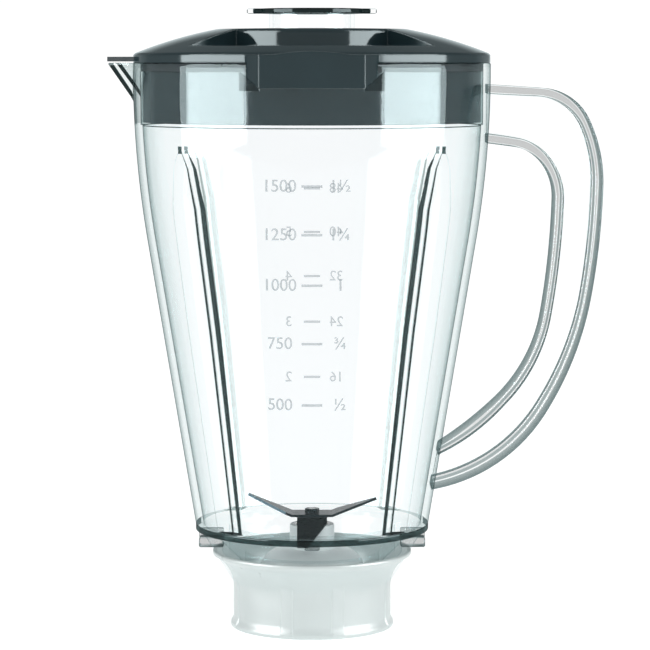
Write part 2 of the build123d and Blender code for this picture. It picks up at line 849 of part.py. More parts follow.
with BuildPart() as blade_carrier:
    with BuildSketch(Plane.XZ):
        with BuildLine():
            Polyline(
                (bush_r, hub_tube_end_z),
                (bush_r, seal_pocket_z),
                (shaft_seal_r, seal_pocket_z),
                (shaft_seal_r, hub_top_z),
                (hub_r, hub_top_z),
                (hub_r, carrier_dome_top_z),
                (dome_mid_r, carrier_dome_top_z),
            )
            CenterArc((dome_mid_r, dome_low_z), carrier_dome_round, 0, 90)
            Polyline(
                (carrier_dome_r, dome_low_z),
                (carrier_dome_r, plug_top_z),
                (plug_r, plug_top_z),
                (plug_r, flange_top_z),
                (spigot_r, flange_top_z),
                (spigot_r, collar_shelf_top_z),
                (plug_r - carrier_wall_t, collar_shelf_top_z),
                (plug_r - carrier_wall_t, plug_top_z - carrier_wall_t),
                (carrier_dome_r - carrier_wall_t, plug_top_z - carrier_wall_t),
                (carrier_dome_r - carrier_wall_t, dome_low_z),
            )
            CenterArc((dome_mid_r, dome_low_z), hollow_round, 0, 90)
            Polyline(
                (dome_mid_r, hollow_top_z),
                (hub_r, hollow_top_z),
                (hub_r, hub_tube_end_z),
                (bush_r, hub_tube_end_z),
            )
        make_face()
    revolve(axis=Axis.Z)
    rib_low_z = plug_top_z - carrier_wall_t
    rib_inner_r = hub_r - overlap
    rib_outer_r = carrier_dome_r - carrier_wall_t + overlap
    rib_top_z = dome_low_z
    with PolarLocations((rib_inner_r + rib_outer_r) / 2, carrier_ribs):
        with Locations((0, 0, (rib_low_z + rib_top_z) / 2)):
            Box(rib_outer_r - rib_inner_r, carrier_rib_t, rib_top_z - rib_low_z)
    hub_edge = blade_carrier.edges().filter_by(GeomType.CIRCLE).group_by(Axis.Z)[-1]
    fillet(hub_edge.sort_by(SortBy.RADIUS)[-1], hub_edge_r)
save(blade_carrier, "blade_carrier")

lower_bush_z = hub_tube_end_z
upper_bush_z = upper_bush_top_z - bush_h
wick_z = lower_bush_z + bush_h + wick_gap
wick_h = upper_bush_z - wick_gap - wick_z
save(ring(shaft_r + running_gap, bush_r, lower_bush_z, bush_h), "lower_bush")
save(ring(shaft_r + running_gap, bush_r, upper_bush_z, bush_h), "upper_bush")
save(ring(shaft_r + wick_shaft_gap, bush_r - overlap, wick_z, wick_h), "oil_wick")

# A lip seal: a rubber ring with a groove in its top that leaves a lip round the shaft
lip_r = shaft_r + running_gap
seal_groove_z = seal_pocket_z + shaft_seal_h / 2
seal_lip_z = seal_pocket_z + shaft_seal_h - seal_lip_drop
shaft_seal = turned(
    [
        (lip_r, seal_pocket_z),
        (shaft_seal_r, seal_pocket_z),
        (shaft_seal_r, seal_pocket_z + shaft_seal_h),
        (shaft_seal_r - seal_side_t, seal_pocket_z + shaft_seal_h),
        (shaft_seal_r - seal_side_t - seal_groove_slope, seal_groove_z),
        (lip_r + seal_lip_t + seal_lip_slope, seal_groove_z),
        (lip_r + seal_lip_t, seal_lip_z),
        (lip_r, seal_lip_z),
    ]
)
save(shaft_seal, "shaft_seal")
save(ring(shaft_r + retainer_gap, shaft_seal_r, hub_top_z - retainer_t, retainer_t), "seal_retainer")

# ---------------------------------------------------------------- shaft and what it carries

shaft_top_z = nut_z + nut_h
with BuildPart() as drive_shaft:
    with BuildSketch(Plane.XZ):
        with BuildLine():
            Polyline(
                (0, shaft_end_z),
                (shaft_screw_r, shaft_end_z),
                (shaft_screw_r, shaft_shoulder_z),
                (shaft_r, shaft_shoulder_z),
                (shaft_r, clip_z),
                (clip_groove_r, clip_z),
                (clip_groove_r, clip_z + clip_t),
                (shaft_r, clip_z + clip_t),
                (shaft_r, lower_blade_z),
                (shaft_neck_r, lower_blade_z),
                (shaft_neck_r, nut_z),
                (shaft_stud_r, nut_z),
                (shaft_stud_r, shaft_top_z),
                (0, shaft_top_z),
                close=True,
            )
        make_face()
    revolve(axis=Axis.Z)
    for side in (-1, 1):
        with Locations((side * (shaft_flat + shaft_r / 2), 0, (lower_blade_z + nut_z) / 2)):
            Box(shaft_r, 2 * shaft_r, nut_z - lower_blade_z, mode=Mode.SUBTRACT)
save(drive_shaft, "drive_shaft")

washer_z = clip_z + clip_t
washer_r = bush_r + washer_overhang
save(
    ring(shaft_r, washer_r, washer_z, hub_tube_end_z - running_gap - washer_z),
    "lower_thrust_washer",
)
save(
    ring(shaft_r, bush_r, hub_top_z + running_gap, thrust_washer_t - running_gap),
    "upper_thrust_washer",
)
save(ring(shaft_r, spacer_r, spacer_z, spacer_h), "blade_spacer")

with BuildPart() as shaft_clip:
    with BuildSketch(Plane.XY.offset(clip_z)):
        Circle(clip_r)
        Circle(clip_groove_r, mode=Mode.SUBTRACT)
        with Locations((clip_r, 0)):
            Rectangle(2 * clip_r, 1.5 * clip_groove_r, mode=Mode.SUBTRACT)
    extrude(amount=clip_t)
save(shaft_clip, "shaft_clip")


def blade(low_z, bend, length, tilt, root_w, tip_w, turn):
    """A two-winged blade along X, turned about Z: each wing leans up from a flat middle."""
    rise = math.radians(tilt)
    wing_plane = Plane(
        origin=(bend - overlap, 0, low_z),
        x_dir=(math.cos(rise), 0, math.sin(rise)),
        z_dir=(-math.sin(rise), 0, math.cos(rise)),
    )
    with BuildPart() as wing:
        with BuildSketch(wing_plane):
            with BuildLine():
                Polyline(
                    (0, -root_w / 2),
                    (length, -root_w / 2),
                    (length, -root_w / 2 + tip_w),
                    (blade_shoulder * length, root_w / 2),
                    (0, root_w / 2),
                    close=True,
                )
            make_face()
        extrude(amount=blade_t)
    with BuildPart() as piece:
        with BuildSketch(Plane.XY.offset(low_z)):
            Rectangle(root_w, 2 * bend, rotation=90)
        extrude(amount=blade_t)
        add(wing.part)
        add(wing.part, rotation=(0, 0, 180))
    with BuildPart() as turned_piece:
        add(piece.part, rotation=(0, 0, turn))
        with BuildSketch(Plane.XY.offset(low_z)):
            Circle(shaft_neck_r)
            Rectangle(2 * shaft_flat, 2 * shaft_r, mode=Mode.INTERSECT)
        extrude(amount=blade_t, mode=Mode.SUBTRACT)
    return turned_piece


upper_len = (upper_blade_reach - upper_blade_bend) / math.cos(math.radians(upper_blade_angle))
upper_blade = blade(
    upper_blade_z,
    upper_blade_bend,
    upper_len,
    upper_blade_angle,
    upper_blade_w,
    upper_blade_tip_w,
    0,
)
save(upper_blade, "upper_blade")

lower_blade = blade(
    lower_blade_z,
    lower_blade_bend,
    lower_blade_len,
    -lower_blade_angle,
    lower_blade_w,
    lower_blade_tip_w,
    90,
)
save(lower_blade, "lower_blade")

with BuildPart() as blade_nut:
    with BuildSketch(Plane.XY.offset(nut_z)):
        RegularPolygon(nut_flats / 2, 6, major_radius=False, rotation=nut_turn)
        Circle(shaft_stud_r, mode=Mode.SUBTRACT)
    extrude(amount=nut_h)
save(blade_nut, "blade_nut")

# ---------------------------------------------------------------- drive coupling

tooth_top_z = coupling_top_z - coupling_disc_t
with BuildPart() as drive_coupling:
    with BuildSketch(Plane.XY.offset(tooth_top_z)):
        Circle(coupling_r)
    extrude(amount=coupling_disc_t)
    for tooth in range(coupling_teeth):
        middle = 360 / coupling_teeth * tooth
        with BuildSketch(Plane.XY.offset(coupling_end_z)):
            with BuildLine():
                start = middle - tooth_angle / 2
                inner = CenterArc((0, 0), tooth_inner_r, start, tooth_angle)
                outer = CenterArc((0, 0), tooth_outer_r, start, tooth_angle)
                Line(inner @ 0, outer @ 0)
                Line(inner @ 1, outer @ 1)
            make_face()
        extrude(amount=tooth_top_z - coupling_end_z + overlap)
    with BuildSketch(Plane.XY.offset(insert_end_z)):
        RegularPolygon(insert_flats / 2, 6, major_radius=False)
    extrude(amount=coupling_top_z - insert_end_z + overshoot, mode=Mode.SUBTRACT)
save(drive_coupling, "drive_coupling")

with BuildPart() as coupling_insert:
    with BuildSketch(Plane.XY.offset(insert_end_z)):
        RegularPolygon(insert_flats / 2, 6, major_radius=False)
        Circle(shaft_screw_r, mode=Mode.SUBTRACT)
    extrude(amount=shaft_shoulder_z - insert_end_z)
save(coupling_insert, "coupling_insert")
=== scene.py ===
"""The look of the blender jug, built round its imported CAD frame.  Lengths in mm unless said."""

import math

import bmesh
import bpy
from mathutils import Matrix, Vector


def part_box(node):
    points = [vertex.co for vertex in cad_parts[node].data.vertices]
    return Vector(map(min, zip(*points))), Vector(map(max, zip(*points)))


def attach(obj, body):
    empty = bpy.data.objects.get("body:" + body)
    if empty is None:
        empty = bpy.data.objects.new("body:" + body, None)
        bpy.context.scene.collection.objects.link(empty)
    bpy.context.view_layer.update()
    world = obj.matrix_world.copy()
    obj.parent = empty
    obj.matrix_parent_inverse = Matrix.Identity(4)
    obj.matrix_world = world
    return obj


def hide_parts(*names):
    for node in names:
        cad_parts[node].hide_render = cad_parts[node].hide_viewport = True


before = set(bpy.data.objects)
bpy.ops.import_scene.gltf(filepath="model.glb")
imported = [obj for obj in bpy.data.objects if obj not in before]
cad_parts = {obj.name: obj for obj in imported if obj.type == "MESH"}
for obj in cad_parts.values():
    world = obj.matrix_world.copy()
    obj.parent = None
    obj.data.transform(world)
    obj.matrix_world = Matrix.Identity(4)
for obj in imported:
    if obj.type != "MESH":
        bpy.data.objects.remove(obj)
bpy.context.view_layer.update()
MM = 0.001
TAU = 2 * math.pi

# ---------------------------------------------------------------- sizes read from the frame

JUG_NODES = sorted(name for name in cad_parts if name.startswith("jug"))
jug_boxes = [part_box(name) for name in JUG_NODES]
jug_low = Vector(min(b[0][i] for b in jug_boxes) / MM for i in range(3))
jug_high = Vector(max(b[1][i] for b in jug_boxes) / MM for i in range(3))
collar_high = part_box("base_collar")[1] / MM
neck_seal_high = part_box("neck_seal")[1] / MM
cap_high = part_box("filler_cap")[1] / MM

rim_z = jug_high.z
rim_r = jug_high.y
spout_reach = -jug_low.x
handle_reach = jug_high.x
handle_w = 20.0
spigot_end_z = jug_low.z
spigot_r = neck_seal_high.x
spigot_t = 2.0
neck_bore_r = spigot_r - spigot_t

# The jug's own shape, as in its CAD source
band_h = 3.8
blend_h = 68.0
floor_r = 47.6
floor_z = 40.0
floor_top_z = 42.2
foot_top_z = 42.6
wall_t = 3.2
pocket_z = 205.0  # ledge under the lid's skirt
pocket_t = 3.0  # wall beside the lid's skirt
pocket_r = rim_r - pocket_t
neck_ledge_w = 6.6  # shelf between the neck's wall and the spigot's bore
neck_inner_r = neck_bore_r + neck_ledge_w
neck_t = 2.8
neck_r = neck_inner_r + neck_t
neck_ledge_z = 31.0
neck_ledge_t = 3.0
neck_chamfer = 2.4
flute_top_z = 197.0
FLUTES = (-136.0, -44.0, 44.0, 136.0)
flute_half_w = 6.0
flute_depth = 5.0
flute_foot_share = 0.7  # a flute's size at the foot, as a share of its full size
flute_point_h = 8.0  # height of a flute's pointed top
flute_point_share = 0.6
flute_run_in = 16.0  # height below the point over which a flute reaches its full size

band_z = rim_z - band_h
blend_z = band_z - blend_h
taper = math.atan((rim_r - floor_r) / (blend_z - foot_top_z + blend_h / 2))
blend_radius = blend_h / math.sin(taper)


def wall_r(z):
    """Outer radius of the jug's wall at height z."""
    if z >= band_z:
        return rim_r
    if z >= blend_z:
        return rim_r - blend_radius + math.sqrt(blend_radius**2 - (band_z - z) ** 2)
    return wall_r(blend_z) - (blend_z - z) * math.tan(taper)


# ---------------------------------------------------------------- mesh helpers


def new_piece(name, points, faces, smooth_angle=40.0):
    """A mesh object from points in mm, smooth except over edges sharper than smooth_angle."""
    mesh = bpy.data.meshes.new(name)
    mesh.from_pydata([tuple(c * MM for c in p) for p in points], [], faces)
    mesh.validate()
    whole = bmesh.new()
    whole.from_mesh(mesh)
    bmesh.ops.recalc_face_normals(whole, faces=whole.faces)
    whole.to_mesh(mesh)
    whole.free()
    mesh.shade_smooth()
    mesh.set_sharp_from_angle(angle=math.radians(smooth_angle))
    piece = bpy.data.objects.new(name, mesh)
    bpy.context.scene.collection.objects.link(piece)
    return piece


def grid_faces(rows, columns):
    """Quads between successive closed rings of points."""
    faces = []
    for row in range(rows - 1):
        for column in range(columns):
            after = (column + 1) % columns
            a = row * columns
            b = a + columns
            faces.append((a + column, a + after, b + after, b + column))
    return faces


def loop_mesh(name, rings, smooth_angle=40.0):
    """A closed mesh from rings of points; the last ring joins the first."""
    columns = len(rings[0])
    points = [p for ring in rings for p in ring]
    faces = grid_faces(len(rings), columns)
    last = (len(rings) - 1) * columns
    for column in range(columns):
        after = (column + 1) % columns
        faces.append((last + column, last + after, after, column))
    return new_piece(name, points, faces, smooth_angle)


def capped_mesh(name, rings, smooth_angle=40.0):
    """A closed mesh from rings of points, with a face over each end."""
    columns = len(rings[0])
    points = [p for ring in rings for p in ring]
    faces = grid_faces(len(rings), columns)
    last = (len(rings) - 1) * columns
    faces.append(tuple(range(columns))[::-1])
    faces.append(tuple(last + i for i in range(columns)))
    return new_piece(name, points, faces, smooth_angle)


def eased(outline, cut, steps=3):
    """The closed outline with each corner turned into a small curve that starts cut from it."""
    made = []
    count = len(outline)
    for i, corner in enumerate(outline):
        corner = Vector(corner)
        before = Vector(outline[i - 1]) - corner
        after = Vector(outline[(i + 1) % count]) - corner
        reach = min(cut, before.length * 0.45, after.length * 0.45)
        start = corner + before.normalized() * reach
        end = corner + after.normalized() * reach
        for step in range(steps + 1):
            t = step / steps
            made.append(start * (1 - t) ** 2 + corner * 2 * t * (1 - t) + end * t**2)
    return made


# ---------------------------------------------------------------- the jug's wall


def soft_above(x, ease):
    """x where it is above 0, 0 where it is below, with a rounded corner."""
    return 0.5 * (x + math.sqrt(x * x + ease * ease))


def flute_share(z):
    """How deep a flute is at height z, from 1 along its run to 0 at its pointed top."""
    if z > flute_top_z:
        return 0.0
    bend_z = flute_top_z - flute_point_h
    if z > bend_z:
        return flute_point_share * (flute_top_z - z) / flute_point_h
    up = (z - foot_top_z) / (blend_z - blend_h / 2 - foot_top_z)
    foot = min(1.0, flute_foot_share + (1 - flute_foot_share) * up)
    down = (bend_z - z) / flute_run_in
    return min(foot, flute_point_share + (1 - flute_point_share) * down)


FLUTE_SPAN = [-1.9, -1.5, -1.25, -1.12, -1.04, -0.97, -0.9, -0.75, -0.5, -0.28, -0.16, -0.08]
FLUTE_SPAN = FLUTE_SPAN + [0.0] + [-t for t in FLUTE_SPAN[::-1]]
SPOUT_HALF = 14.0  # degrees each way that the spout takes of the wall
SPOUT_SPAN = [i / 12 for i in range(-12, 13)]
BETWEEN = 26  # columns between one flute or spout and the next
LEAST_SHARE = 0.12  # keeps a flute's columns apart where the flute has no depth


def columns_at(z, half_w):
    """Angles of the wall's columns at height z, as (angle, flute offset in half widths or None)."""
    made = []
    share = max(flute_share(z), LEAST_SHARE)
    marks = []
    for middle in FLUTES:
        reach = math.degrees(half_w * share / wall_r(z))
        marks.append([(middle + t * reach, t) for t in FLUTE_SPAN])
    spout = [(180.0 + t * SPOUT_HALF, None) for t in SPOUT_SPAN]
    marks.append(spout)
    for i, group in enumerate(marks):
        made.extend(group)
        following = marks[(i + 1) % len(marks)][0][0]
        if following < group[-1][0]:
            following += 360.0
        gap = following - group[-1][0]
        made.extend((group[-1][0] + gap * k / BETWEEN, None) for k in range(1, BETWEEN))
    return made


def spout_r(angle, z, tip, half_w, low_z):
    """Radius of the spout's pointed plan at an angle from the -X axis and height z."""
    root = rim_r - spout_root_in
    share = (z - low_z) / (rim_z - low_z)
    slope = (tip - root) / half_w
    turn = math.radians(angle)
    return (root + (tip - root) * share) / (math.cos(turn) + slope * abs(math.sin(turn)))


def wall_ring(z, inset, half_w, fluted, spout):
    """One ring of the wall: outer with inset 0, or inner."""
    ring = []
    base = wall_r(z) - inset if z < pocket_z + 0.01 or inset == 0 else pocket_r
    for angle, t in columns_at(z, half_w):
        share = flute_share(z) if fluted else 0.0
        r = base
        if t is not None and share > 0:
            dip = 1.06 - math.sqrt(t * t + 0.011)  # a V with a rounded bottom
            r -= flute_depth * share * soft_above(dip, 0.07)
        if spout is not None and abs(angle - 180.0) <= SPOUT_HALF:
            r += soft_above(spout_r(angle - 180.0, z, *spout) - r, 0.25) - 0.0008
        a = math.radians(angle)
        ring.append((r * math.cos(a), r * math.sin(a), z))
    return ring


def spread(low, high, count):
    """count heights from low up to high, both ends included."""
    return [low + (high - low) * i / (count - 1) for i in range(count)]


bead_h = 0.45  # half height of the painted dark line (painted shade) at the pocket's ledge
spout_root_in = 6.0
outer_spout = (spout_reach, 13.0, rim_z - 23.8)  # tip, half width at the root, foot
inner_spout = (spout_reach - 3.5, 10.8, rim_z - 17.8)
foot_gap = 0.06  # keeps the wall's own mesh clear of the neck's
foot_band_h = 0.6  # plain wall under the flutes
rim_round = 0.5
RIM_SHARES = (0.18, 0.82)  # where the rim's flat top starts and ends, across the wall
flute_ease_z = flute_top_z - 24.0  # closer rows from here up to the flutes' tops
flute_end_z = flute_top_z + 0.5
spout_rows_z = rim_z - 24.5
along_flutes = spread(blend_z, flute_ease_z, 6)[0:-1] + spread(flute_ease_z, flute_end_z, 18)[0:-1]
outer_z = (
    spread(foot_top_z + foot_gap, foot_top_z + foot_band_h - 0.05, 2)
    + spread(foot_top_z + foot_band_h + 0.15, blend_z, 34)[0:-1]
    + along_flutes
    + spread(flute_end_z, spout_rows_z, 4)[0:-1]
    + spread(spout_rows_z, rim_z - rim_round, 12)
)
inner_z = (
    spread(foot_top_z + foot_gap, blend_z, 34)[0:-1]
    + along_flutes
    + spread(flute_end_z, pocket_z - bead_h, 4)
    + [pocket_z - 0.05]
)
pocket_rows = spread(pocket_z + 0.02, rim_z - rim_round, 14)

half_w = flute_half_w
rings = [wall_ring(z, 0, half_w, z > foot_top_z + foot_band_h, outer_spout) for z in outer_z]
top_out = wall_ring(rim_z, 0, half_w, False, outer_spout)
top_in = wall_ring(rim_z, wall_t, half_w, False, inner_spout)
for share in RIM_SHARES:
    rings.append(
        [
            tuple(o + (i - o) * share for o, i in zip(p, q))[:2] + (rim_z,)
            for p, q in zip(top_out, top_in)
        ]
    )
inner_w = flute_half_w + 2.6
rings += [wall_ring(z, wall_t, inner_w, False, inner_spout) for z in pocket_rows[::-1]]
rings += [wall_ring(z, wall_t, inner_w, True, None) for z in inner_z[::-1]]
jug_wall = loop_mesh("jug_wall", rings, 50.0)


def turn_of(place):
    """Angle about the axis of a place, in degrees from 0 to 360 counted from +X."""
    return math.degrees(math.atan2(place.y, place.x)) % 360.0


def wall_part(place):
    """Finish of a spot on the wall: 0 plain, 1 front flute in darker painted shade, 2 back flute in
    lighter painted shade, 3 a painted dark edge line, 4 spout.
    """
    z, r = place.z / MM, math.hypot(place.x, place.y) / MM
    turn = turn_of(place)
    if z > pocket_z and abs(turn - 180.0) < SPOUT_HALF and r > pocket_r:
        # painted shade: a dark line down the spout's keel and along its rim top
        if abs(turn - 180.0) < 1.3 or z > rim_z - 0.1:
            return 3
        return 4
    # painted shade: a dark line inside along the pocket's ledge
    if abs(z - pocket_z) < bead_h and r < wall_r(z) - 2.0:
        return 3
    share = flute_share(z)
    if share > 0 and r > wall_r(z) - 9.0:
        for middle in FLUTES:
            off = abs((turn - middle + 180.0) % 360.0 - 180.0)
            # painted shade: a dark line at the top of each front flute only
            if z > flute_top_z - 3.0 and off < 0.9 and place.y < 0:
                return 3
            # painted shade: front flutes take the darker copy of the flute tints, back flutes the
            # lighter copy
            if off < math.degrees(1.3 * flute_half_w * share / wall_r(z)) + 0.15:
                return 1 if place.y < 0 else 2
    return 0


# ---------------------------------------------------------------- floor, neck and thread

thread_lead = 12.0
thread_starts = 3
thread_low_z = spigot_end_z + 1.9
thread_turn = 0.42  # share of a turn that each ridge runs
thread_fade = 0.02  # share of a turn over which its ends fade out
thread_h = 0.9
thread_half_w = 0.7
thread_flank_w = 0.35


def thread_rise(angle, z):
    """Height of the screw ridges above the spigot at an angle (in turns) and height."""
    rise = 0.0
    for start in range(thread_starts):
        run = (angle - start / thread_starts) % 1.0
        if run < thread_turn:
            off = abs(z - thread_low_z - thread_lead * run)
            fade = min(1.0, run / thread_fade, (thread_turn - run) / thread_fade)
            flank = min(1.0, max(0.0, (thread_half_w - off) / thread_flank_w))
            rise = max(rise, fade * thread_h * flank)
    return rise


inner_foot_r = wall_r(floor_top_z) - wall_t / math.cos(taper)
spigot_top_z = neck_ledge_z - neck_ledge_t
neck_low = [
    (floor_r - 0.02, foot_top_z - foot_gap),
    (floor_r, floor_z),
    (neck_r, floor_z),
    (neck_r, spigot_top_z + neck_chamfer),
    (neck_r - neck_chamfer, spigot_top_z),
    (spigot_r, spigot_top_z),
]
neck_high = [
    (spigot_r, spigot_end_z),
    (neck_bore_r, spigot_end_z),
    (neck_bore_r, neck_ledge_z),
    (neck_inner_r, neck_ledge_z),
    (neck_inner_r, floor_top_z),
    (inner_foot_r, floor_top_z),
    (inner_foot_r + 0.25, foot_top_z - foot_gap),
]
NECK_SEGMENTS = 240
neck_outline = eased(neck_low + neck_high, 0.35)
above = [i for i, p in enumerate(neck_outline) if p.x > spigot_r - 0.01 and p.y > spigot_top_z - 2]
split = max(above) + 1
thread_z = spread(spigot_top_z - 0.4, spigot_end_z + 0.4, 50)
neck_outline = (
    neck_outline[:split]
    + [Vector((spigot_r, z)) for z in thread_z]
    + neck_outline[split:]
)
neck_rings = []
for place in neck_outline:
    threaded = abs(place.x - spigot_r) < 0.001 and place.y < spigot_top_z - 0.3
    neck_rings.append([])
    for k in range(NECK_SEGMENTS):
        a = TAU * k / NECK_SEGMENTS
        r = place.x + (thread_rise(k / NECK_SEGMENTS, place.y) if threaded else 0.0)
        neck_rings[-1].append((r * math.cos(a), r * math.sin(a), place.y))
jug_neck = loop_mesh("jug_neck", neck_rings, 35.0)


def eased_box(name, low, high, cut):
    """A box between two corners with eased upright edges and small eased ends."""
    outline = [(low[0], low[1]), (high[0], low[1]), (high[0], high[1]), (low[0], high[1])]
    middle = Vector(((low[0] + high[0]) / 2, (low[1] + high[1]) / 2))
    plan = eased(outline, cut)
    rings = []
    for z, shrink in ((low[2], cut), (low[2] + cut, 0), (high[2] - cut, 0), (high[2], cut)):
        ring = []
        for p in plan:
            inward = middle - p
            ring.append(
                (
                    p.x + math.copysign(min(shrink, abs(inward.x)), inward.x),
                    p.y + math.copysign(min(shrink, abs(inward.y)), inward.y),
                    z,
                )
            )
        rings.append(ring)
    return capped_mesh(name, rings, 50.0)


def neck_part(place):
    """Which finish a spot on the neck takes: 0 plain, 1 a painted dark line (painted shade) on the
    front of the floor's edge.
    """
    x, y, z = place / MM
    return 1 if math.hypot(x, y) > floor_r - 0.5 and z > floor_z - 0.05 and y < 12.0 else 0


lug_len = 9.5  # beyond the neck
lug_z = 32.5
lug_h = 3.7
lug_w = 9.0
web_t = 3.0
nib_w = 6.0
nib_h = 1.5
small_clear = []
for side, end in ((-1, "left"), (1, "right")):
    near, far = sorted((side * (neck_r - 0.6), side * (neck_r + lug_len)))
    lug = ((near, -lug_w / 2, lug_z), (far, lug_w / 2, lug_z + lug_h))
    web = ((near, -web_t / 2, lug_z + lug_h + 0.1), (far, web_t / 2, floor_z - 0.1))
    small_clear.append(eased_box(f"jug_lug_{end}", *lug, 0.5))
    small_clear.append(eased_box(f"jug_lug_web_{end}", *web, 0.3))
nib = ((-nib_w / 2, 0.6 - floor_r, floor_z - nib_h), (nib_w / 2, 2.6 - floor_r, floor_z - 0.05))
small_clear.append(eased_box("jug_nib", *nib, 0.4))

# ---------------------------------------------------------------- handle


def tangent_arc(start, direction, end, count):
    """Points on the arc that leaves start along direction for end, and its last direction."""
    chord = end - start
    direction = direction.normalized()
    normal = Vector((-direction.y, direction.x))
    off = chord.dot(normal)
    if abs(off) < 1e-6:
        return [start + chord * i / count for i in range(1, count + 1)], direction
    radius = chord.length_squared / (2 * off)
    centre = start + normal * radius
    first = start - centre
    turn = 2 * math.atan2(off, chord.dot(direction))
    made = []
    for i in range(1, count + 1):
        a = turn * i / count
        c, s = math.cos(a), math.sin(a)
        made.append(centre + Vector((first.x * c - first.y * s, first.x * s + first.y * c)))
    c, s = math.cos(turn), math.sin(turn)
    after = Vector((direction.x * c - direction.y * s, direction.x * s + direction.y * c))
    return made, after


def handle_edge(passed, furthest, top_z, foot_z, count=14):
    """One edge of the handle, from inside the rim's wall round to inside the lower wall.

    It passes spots given as distances in from its furthest reach and down from the rim.
    """
    places = [Vector((furthest - inward, rim_z - below)) for inward, below in passed]
    root = Vector((rim_r - 8.0, top_z))
    start = root + (places[0] - root) * (rim_r - 1.5 - root.x) / (places[0].x - root.x)
    made = [start + (places[0] - start) * i / count for i in range(count + 1)]
    heading = places[0] - start
    places.append(Vector((wall_r(foot_z) + 0.3, foot_z)))
    for place in places[1:]:
        arc, heading = tangent_arc(made[-1], heading, place, count)
        made += arc
    made.append(made[-1] + heading.normalized() * 1.9)
    return made


outer_passed = ((24.4, 10.0), (5.8, 22.6), (0, 49.8), (4.6, 94.8), (23.1, 142.4))
inner_passed = ((16.8, 33.6), (2.6, 43.3), (-0.2, 54.8), (4.3, 101.7), (22.8, 136.8))
outer_line = handle_edge(outer_passed, handle_reach, rim_z - 8.1, rim_z - 172.5)
inner_line = handle_edge(inner_passed, handle_reach - 19.6, rim_z - 31.4, rim_z - 154.1)
flange_t = 3.7
web = 1.5  # half the web's thickness
half = handle_w / 2
section = [(0, -half), (0, half), (1, half), (1, web), (2, web), (2, half), (3, half)]
section += [(3, -half), (2, -half), (2, -web), (1, -web), (1, -half)]


def handle_section(outer, inner):
    """The handle's I section between a point on its outer edge and one on its inner edge."""
    across = inner - outer
    span = across.length
    steps = (0.0, flange_t, span - flange_t, span)
    plan = [(steps[a], y) for a, y in section]
    ring = []
    for p in eased(plan, 1.1, 3):
        spot = outer + across * (p.x / span)
        ring.append((spot.x, p.y, spot.y))
    return ring


jug_handle = capped_mesh(
    "jug_handle", [handle_section(o, i) for o, i in zip(outer_line, inner_line)], 50.0
)


def handle_part(place):
    """Which finish a spot on the handle takes: 0 plain, 1 the flanges' flat faces."""
    return 1 if abs(place.y) / MM > half - 0.3 else 0


# ---------------------------------------------------------------- collar, filler cap, tongue

thread_play = 0.4
collar_t = 1.5
collar_r = spigot_r + thread_h + thread_play + collar_t
bore = collar_r - collar_t
collar_h = collar_high.z
lip_r = collar_high.x
flare_low_z, flare_high_z = collar_h - 15.5, collar_h - 1.7
flare_w = lip_r - 0.2 - collar_r
flare_radius = (flare_w**2 + (flare_high_z - flare_low_z) ** 2) / (2 * flare_w)


def flare_r(z, inward):
    """Radius of the collar's flare at height z, on its outer face or inward of it."""
    rise = max(0.0, z - flare_low_z)
    arc = flare_radius + inward
    return collar_r - inward + arc - math.sqrt(arc * arc - rise * rise)


collar_outline = [(collar_r + 0.9, 0.0), (collar_r + 1.2, 0.6), (collar_r + 1.1, 1.9)]
collar_outline += [(collar_r + 0.45, 2.9), (collar_r + 0.05, 4.0), (collar_r, 5.0)]
collar_outline += [(collar_r, z) for z in (8.0, 11.0, 14.0, 15.8)]
collar_outline += [(flare_r(z, 0), z) for z in spread(flare_low_z + 1, flare_high_z, 16)]
collar_outline += [(lip_r, flare_high_z + 0.4), (lip_r, collar_h - 0.4), (lip_r - 0.4, collar_h)]
OUTER_ROWS = len(collar_outline) - 3  # rows that the grip ribs can raise
mouth_r = flare_r(flare_high_z, collar_t)
ledge_r = bore - 5.7
ledge_z, ledge_top_z = 7.0, 9.3  # the ledge that holds the carrier's flange up
collar_outline += [(mouth_r + collar_t, collar_h), (mouth_r + 1.1, collar_h - 0.2)]
collar_outline += [(flare_r(z, collar_t), z) for z in spread(flare_high_z, flare_low_z + 1, 12)]
collar_outline += [(bore, 14.0), (bore, ledge_top_z + 0.2), (bore - 0.1, ledge_top_z)]
collar_outline += [(ledge_r + 0.1, ledge_top_z), (ledge_r, ledge_top_z - 0.1)]
collar_outline += [(ledge_r, ledge_z + 0.1), (ledge_r + 0.1, ledge_z)]
collar_outline += [(bore - 0.1, ledge_z), (bore, ledge_z - 0.1), (bore, 0.1), (bore + 0.1, 0.0)]
GRIP_RIBS = [90.0 * quarter + side * 18.5 for quarter in range(4) for side in (-1, 1)]
rib_half_w = 2.5
rib_flank_w = 0.35
rib_h = 0.5
rib_top_z = 21.0
rib_fade_h = 2.5


def grip_rise(angle, z):
    """Height of the collar's grip ribs above its wall, fading out up the flare."""
    off = min(abs((angle - rib + 180.0) % 360.0 - 180.0) for rib in GRIP_RIBS)
    reach = (rib_half_w - math.radians(off) * collar_r) / rib_flank_w
    across = min(1.0, max(0.0, reach + 0.5))
    upward = min(1.0, max(0.0, (rib_top_z - z) / rib_fade_h), max(0.0, z - 1.0))
    return rib_h * across * across * (3 - 2 * across) * upward


COLLAR_COLUMNS = 720
collar_rings = []
for row, (r, z) in enumerate(collar_outline):
    collar_rings.append([])
    for k in range(COLLAR_COLUMNS):
        turn = k / COLLAR_COLUMNS
        reach = r + (grip_rise(360.0 * turn, z) if row < OUTER_ROWS else 0.0)
        reach = min(reach, lip_r)
        a = TAU * turn
        collar_rings[-1].append((reach * math.cos(a), reach * math.sin(a), z))
collar = loop_mesh("collar", collar_rings, 60.0)

